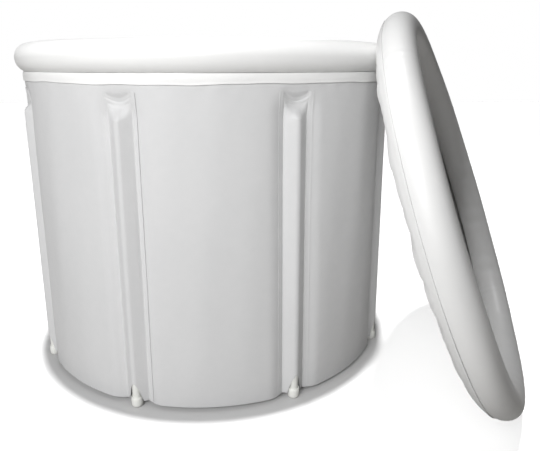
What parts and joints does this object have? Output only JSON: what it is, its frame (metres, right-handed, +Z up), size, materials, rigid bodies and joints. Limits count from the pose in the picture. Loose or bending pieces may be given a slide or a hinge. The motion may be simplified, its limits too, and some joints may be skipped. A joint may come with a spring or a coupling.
{
  "type": "cold plunge tub",
  "caption": "Upright round cold plunge tub of laminated sheet with an inflated rim, rods in welded sleeves, a drain, and an inflated lid leaning on it.",
  "frame": {"origin": "on the tub's axis, at the underside of its base panel, 8 mm over the floor that the rods' feet stand on", "axes": "+Z up along the tub's axis, -Y towards the front seen in the picture, the lid leans on the +X side"},
  "size_m": [1.2418, 1.2126, 0.816],
  "materials": {
    "wall_sheet": "matte laminated sheet",
    "white_sheet": "satin white inflatable sheet",
    "liner_sheet": "satin liner",
    "foam": "closed-cell foam",
    "white_plastic": "satin moulded plastic",
    "grey_plastic": "moulded plastic",
    "rubber": "matte"
  },
  "bodies": {
    "tub": {"outer_wall": "wall_sheet", "wall_foam": "foam", "inner_liner": "liner_sheet", "base_panel": "wall_sheet", "floor_foam": "foam", "top_band": "white_sheet", "top_air_ring": "white_sheet", "ring_valve_base": "white_plastic", "ring_valve_insert": "grey_plastic", "drain_body": "grey_plastic", "drain_gasket": "rubber", "drain_nut": "grey_plastic", "rod_sleeve_1": "wall_sheet", "rod_sleeve_2": "wall_sheet", "rod_sleeve_3": "wall_sheet", "rod_sleeve_4": "wall_sheet", "rod_sleeve_5": "wall_sheet", "rod_sleeve_6": "wall_sheet", "rod_sleeve_7": "wall_sheet", "rod_sleeve_8": "wall_sheet"},
    "lid": {"lid_air_ring": "white_sheet", "lid_membrane": "white_sheet", "lid_valve_base": "white_plastic", "lid_valve_insert": "grey_plastic"},
    "ring_valve_lid": {"ring_valve_cap": "white_plastic"},
    "lid_valve_lid": {"lid_valve_cap": "white_plastic"},
    "drain_washer": {"drain_seal": "rubber"},
    "drain_lid": {"drain_cap": "grey_plastic"},
    "rod_1": {"support_rod_1": "white_plastic", "foot_cap_1": "white_plastic", "rod_top_cap_1": "grey_plastic"},
    "rod_2": {"support_rod_2": "white_plastic", "foot_cap_2": "white_plastic", "rod_top_cap_2": "grey_plastic"},
    "rod_3": {"support_rod_3": "white_plastic", "foot_cap_3": "white_plastic", "rod_top_cap_3": "grey_plastic"},
    "rod_4": {"support_rod_4": "white_plastic", "foot_cap_4": "white_plastic", "rod_top_cap_4": "grey_plastic"},
    "rod_5": {"support_rod_5": "white_plastic", "foot_cap_5": "white_plastic", "rod_top_cap_5": "grey_plastic"},
    "rod_6": {"support_rod_6": "white_plastic", "foot_cap_6": "white_plastic", "rod_top_cap_6": "grey_plastic"},
    "rod_7": {"support_rod_7": "white_plastic", "foot_cap_7": "white_plastic", "rod_top_cap_7": "grey_plastic"},
    "rod_8": {"support_rod_8": "white_plastic", "foot_cap_8": "white_plastic", "rod_top_cap_8": "grey_plastic"}
  },
  "joints": [
    {"name": "lid_flip", "type": "hinge", "parent": "tub", "child": "lid", "pos_m": [0.39918, -0.20969, 0.81006], "axis": [-0.4685, -0.8805, 0.0732], "range_deg": [0, 249.5]},
    {"name": "rod_slide_1", "type": "slide", "parent": "tub", "child": "rod_1", "axis": [0, 0, -1], "range_m": [0, 0.62]},
    {"name": "rod_slide_2", "type": "slide", "parent": "tub", "child": "rod_2", "axis": [0, 0, -1], "range_m": [0, 0.62]},
    {"name": "rod_slide_3", "type": "slide", "parent": "tub", "child": "rod_3", "axis": [0, 0, -1], "range_m": [0, 0.62]},
    {"name": "rod_slide_4", "type": "slide", "parent": "tub", "child": "rod_4", "axis": [0, 0, -1], "range_m": [0, 0.62]},
    {"name": "rod_slide_5", "type": "slide", "parent": "tub", "child": "rod_5", "axis": [0, 0, -1], "range_m": [0, 0.62]},
    {"name": "rod_slide_6", "type": "slide", "parent": "tub", "child": "rod_6", "axis": [0, 0, -1], "range_m": [0, 0.62]},
    {"name": "rod_slide_7", "type": "slide", "parent": "tub", "child": "rod_7", "axis": [0, 0, -1], "range_m": [0, 0.62]},
    {"name": "rod_slide_8", "type": "slide", "parent": "tub", "child": "rod_8", "axis": [0, 0, -1], "range_m": [0, 0.62]},
    {"name": "ring_valve_flip", "type": "hinge", "parent": "tub", "child": "ring_valve_lid", "pos_m": [-0.0155, 0.4671, 0.716], "axis": [0, 0, 1], "range_deg": [0, 120]},
    {"name": "lid_valve_flip", "type": "hinge", "parent": "lid", "child": "lid_valve_lid", "pos_m": [0.45689, -0.65598, 0.29834], "axis": [0.8713, -0.352, 0.342], "range_deg": [0, 120]},
    {"name": "drain_washer_slide", "type": "slide", "parent": "tub", "child": "drain_washer", "axis": [0, 1, 0], "range_m": [0, 0.012]},
    {"name": "drain_cap_turn", "type": "hinge", "parent": "drain_washer", "child": "drain_lid", "pos_m": [0, 0.475, 0.062], "axis": [0, 1, 0], "range_deg": [0, 1080]}
  ],
  "couplings": [
    {"joint": "drain_washer_slide", "follows": "drain_cap_turn", "m_per_rad": 0.000636}
  ]
}
